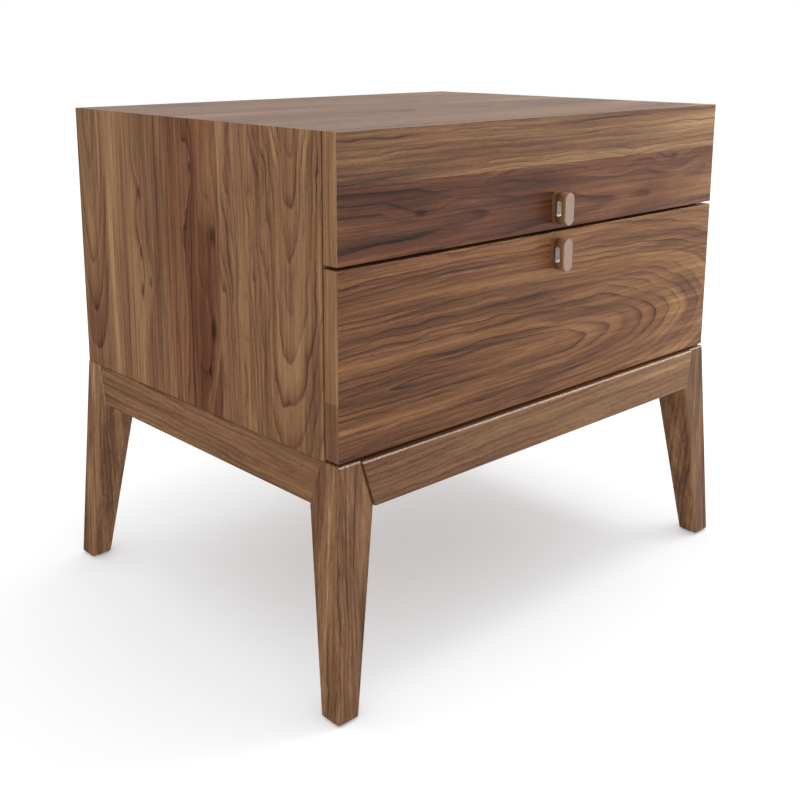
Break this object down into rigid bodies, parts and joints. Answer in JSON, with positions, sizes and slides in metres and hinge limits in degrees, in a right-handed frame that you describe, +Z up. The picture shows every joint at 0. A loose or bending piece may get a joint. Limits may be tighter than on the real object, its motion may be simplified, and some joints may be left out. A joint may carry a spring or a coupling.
{
  "type": "nightstand with drawers",
  "caption": "Walnut nightstand with overlay drawer fronts and small slotted pulls, a mitred case, splayed tapered legs and dovetailed drawers on full-extension slides.",
  "frame": {"origin": "on the floor, under the middle of the bounding box", "axes": "+X along the width, to the right as seen from the front; +Y from the drawer fronts towards the back; +Z up"},
  "size_m": [0.632, 0.495, 0.55],
  "materials": {
    "walnut_case": "satin clear lacquer on walnut",
    "walnut_front": "satin clear lacquer on walnut",
    "walnut_base": "satin clear lacquer on walnut",
    "maple": "clear lacquer on maple",
    "plywood": "clear lacquer on birch plywood",
    "slide_steel": "zinc-plated rolled steel",
    "zinc": "zinc-plated",
    "nylon": "matt nylon",
    "rubber": "soft matt"
  },
  "bodies": {
    "case": {"top_panel": "walnut_case", "left_side_panel": "walnut_case", "right_side_panel": "walnut_case", "bottom_panel": "walnut_case", "back_panel": "plywood", "divider_rail": "walnut_case", "mitre_splines": "walnut_case", "case_dowels": "maple", "back_panel_screws": "zinc", "bumper_pads": "rubber", "front_left_leg": "walnut_base", "front_right_leg": "walnut_base", "rear_left_leg": "walnut_base", "rear_right_leg": "walnut_base", "front_apron": "walnut_base", "rear_apron": "walnut_base", "left_apron": "walnut_base", "right_apron": "walnut_base", "corner_blocks": "maple", "apron_dowels": "maple", "base_screws": "zinc", "foot_glides": "nylon", "upper_left_slide_outer": "slide_steel", "upper_right_slide_outer": "slide_steel", "lower_left_slide_outer": "slide_steel", "lower_right_slide_outer": "slide_steel", "case_slide_screws": "zinc"},
    "upper_drawer": {"upper_drawer_front": "walnut_front", "upper_box_front": "maple", "upper_box_left": "maple", "upper_box_right": "maple", "upper_box_back": "maple", "upper_box_bottom": "plywood", "upper_pull": "walnut_front", "upper_pull_screws": "zinc", "upper_front_screws": "zinc", "upper_left_slide_inner": "slide_steel", "upper_right_slide_inner": "slide_steel", "upper_slide_screws": "zinc"},
    "upper_carriages": {"upper_left_slide_middle": "slide_steel", "upper_right_slide_middle": "slide_steel"},
    "upper_outer_cages": {"upper_outer_ball_cages": "slide_steel"},
    "upper_inner_cages": {"upper_inner_ball_cages": "slide_steel"},
    "lower_drawer": {"lower_drawer_front": "walnut_front", "lower_box_front": "maple", "lower_box_left": "maple", "lower_box_right": "maple", "lower_box_back": "maple", "lower_box_bottom": "plywood", "lower_pull": "walnut_front", "lower_pull_screws": "zinc", "lower_front_screws": "zinc", "lower_left_slide_inner": "slide_steel", "lower_right_slide_inner": "slide_steel", "lower_slide_screws": "zinc"},
    "lower_carriages": {"lower_left_slide_middle": "slide_steel", "lower_right_slide_middle": "slide_steel"},
    "lower_outer_cages": {"lower_outer_ball_cages": "slide_steel"},
    "lower_inner_cages": {"lower_inner_ball_cages": "slide_steel"}
  },
  "joints": [
    {"name": "upper_drawer_slide", "type": "slide", "parent": "case", "child": "upper_drawer", "axis": [0, -1, 0], "range_m": [0, 0.385]},
    {"name": "upper_carriages_slide", "type": "slide", "parent": "case", "child": "upper_carriages", "axis": [0, -1, 0], "range_m": [0, 0.1925]},
    {"name": "upper_outer_cages_slide", "type": "slide", "parent": "case", "child": "upper_outer_cages", "axis": [0, -1, 0], "range_m": [0, 0.09625]},
    {"name": "upper_inner_cages_slide", "type": "slide", "parent": "case", "child": "upper_inner_cages", "axis": [0, -1, 0], "range_m": [0, 0.28875]},
    {"name": "lower_drawer_slide", "type": "slide", "parent": "case", "child": "lower_drawer", "axis": [0, -1, 0], "range_m": [0, 0.385]},
    {"name": "lower_carriages_slide", "type": "slide", "parent": "case", "child": "lower_carriages", "axis": [0, -1, 0], "range_m": [0, 0.1925]},
    {"name": "lower_outer_cages_slide", "type": "slide", "parent": "case", "child": "lower_outer_cages", "axis": [0, -1, 0], "range_m": [0, 0.09625]},
    {"name": "lower_inner_cages_slide", "type": "slide", "parent": "case", "child": "lower_inner_cages", "axis": [0, -1, 0], "range_m": [0, 0.28875]}
  ],
  "couplings": [
    {"joint": "upper_carriages_slide", "follows": "upper_drawer_slide", "ratio": 0.5},
    {"joint": "upper_outer_cages_slide", "follows": "upper_drawer_slide", "ratio": 0.25},
    {"joint": "upper_inner_cages_slide", "follows": "upper_drawer_slide", "ratio": 0.75},
    {"joint": "lower_carriages_slide", "follows": "lower_drawer_slide", "ratio": 0.5},
    {"joint": "lower_outer_cages_slide", "follows": "lower_drawer_slide", "ratio": 0.25},
    {"joint": "lower_inner_cages_slide", "follows": "lower_drawer_slide", "ratio": 0.75}
  ]
}
